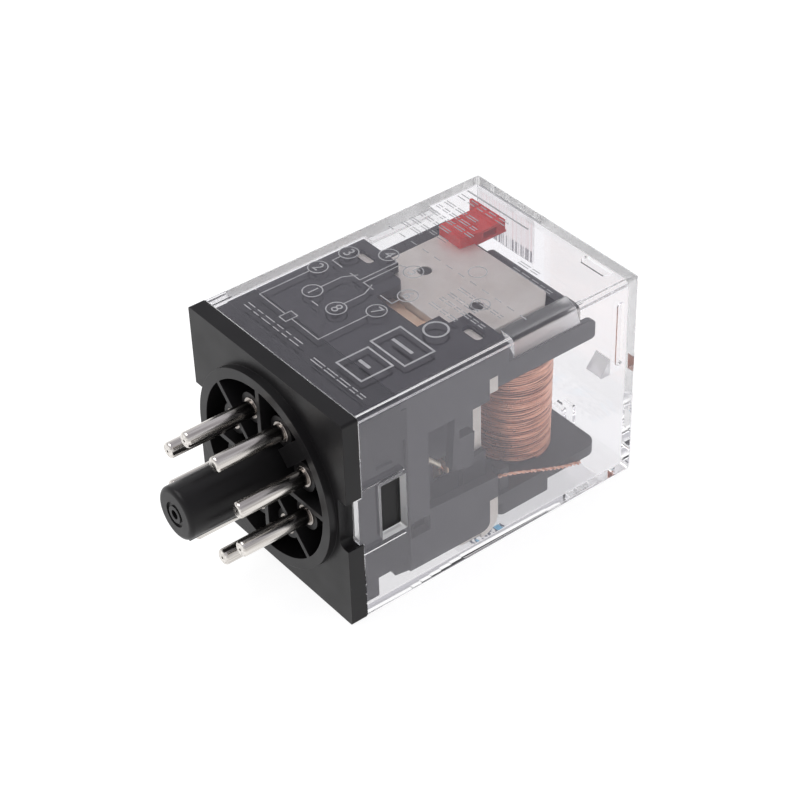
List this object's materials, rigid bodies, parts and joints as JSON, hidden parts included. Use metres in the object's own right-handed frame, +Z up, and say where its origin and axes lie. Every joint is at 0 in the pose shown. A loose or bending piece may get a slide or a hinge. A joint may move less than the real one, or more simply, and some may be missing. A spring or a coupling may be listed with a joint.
{
  "type": "plug-in relay",
  "caption": "Octal plug-in changeover relay with a clear square cover, round key post and pins, a visible coil and a red operation flag, lying on its side.",
  "frame": {"origin": "centre of the pin circle on the front face of the base plate", "axes": "+Y from the plug to the closed end of the cover, +X across the width to the side with the exposed coil, +Z up with the printed face on top: the relay lies on its side"},
  "size_m": [0.0344, 0.067, 0.0344],
  "materials": {
    "base_plastic": "black moulded thermoset, satin",
    "clear_cover": "clear polycarbonate, polished",
    "frame_plastic": "black moulded plastic, satin",
    "bobbin_plastic": "black moulded nylon, satin",
    "card_plastic": "dark moulded plastic",
    "pin_nickel": "bright nickel plate",
    "plated_steel": "dull zinc-plated soft iron",
    "copper_wire": "enamelled copper wire",
    "spring_bronze": "phosphor bronze strip",
    "terminal_brass": "stamped brass strip",
    "contact_silver": "silver alloy contact",
    "tinned_braid": "tinned copper braid",
    "flag_red": "red moulded plastic",
    "label_film": "white printed film"
  },
  "bodies": {
    "root": {"base": "base_plastic", "cover": "clear_cover", "end_label": "label_film", "bottom_label": "label_film", "contact_pin_1": "pin_nickel", "contact_pin_2": "pin_nickel", "contact_pin_3": "pin_nickel", "contact_pin_4": "pin_nickel", "contact_pin_5": "pin_nickel", "contact_pin_6": "pin_nickel", "contact_pin_7": "pin_nickel", "contact_pin_8": "pin_nickel", "contact_frame": "frame_plastic", "yoke": "plated_steel", "core": "plated_steel", "bobbin": "bobbin_plastic", "coil_winding": "copper_wire", "hinge_spring": "spring_bronze", "blade_clip_right": "terminal_brass", "blade_clip_left": "terminal_brass", "open_terminal_right": "terminal_brass", "open_terminal_left": "terminal_brass", "open_contact_right": "contact_silver", "open_contact_left": "contact_silver", "closed_terminal_right": "terminal_brass", "closed_terminal_left": "terminal_brass", "closed_contact_right": "contact_silver", "closed_contact_left": "contact_silver", "coil_strap_right": "terminal_brass", "coil_strap_left": "terminal_brass", "coil_lead_right": "copper_wire", "coil_lead_left": "copper_wire", "flexible_lead_right": "tinned_braid", "flexible_lead_left": "tinned_braid"},
    "armature": {"armature": "plated_steel", "actuator_card": "card_plastic", "indicator_flag": "flag_red"},
    "pole_right": {"moving_blade_right": "spring_bronze", "moving_contact_right": "contact_silver"},
    "pole_left": {"moving_blade_left": "spring_bronze", "moving_contact_left": "contact_silver"}
  },
  "joints": [
    {"name": "armature_tilt", "type": "hinge", "parent": "root", "child": "armature", "pos_m": [0, 0.02685, 0.0128], "axis": [-1, 0, 0], "range_deg": [0, 4.2], "stiffness_Nm_per_rad": 0.02, "springref_deg": -17.19, "deforming": ["hinge_spring"]},
    {"name": "blade_right_swing", "type": "hinge", "parent": "root", "child": "pole_right", "pos_m": [0.008, 0.02003, 0.0096], "axis": [-1, 0, 0], "range_deg": [0, 4.95], "deforming": ["flexible_lead_right"]},
    {"name": "blade_left_swing", "type": "hinge", "parent": "root", "child": "pole_left", "pos_m": [-0.008, 0.02003, 0.0096], "axis": [-1, 0, 0], "range_deg": [0, 4.95], "deforming": ["flexible_lead_left"]}
  ],
  "couplings": [
    {"joint": "blade_right_swing", "follows": "armature_tilt", "ratio": 1.175},
    {"joint": "blade_left_swing", "follows": "armature_tilt", "ratio": 1.175}
  ]
}
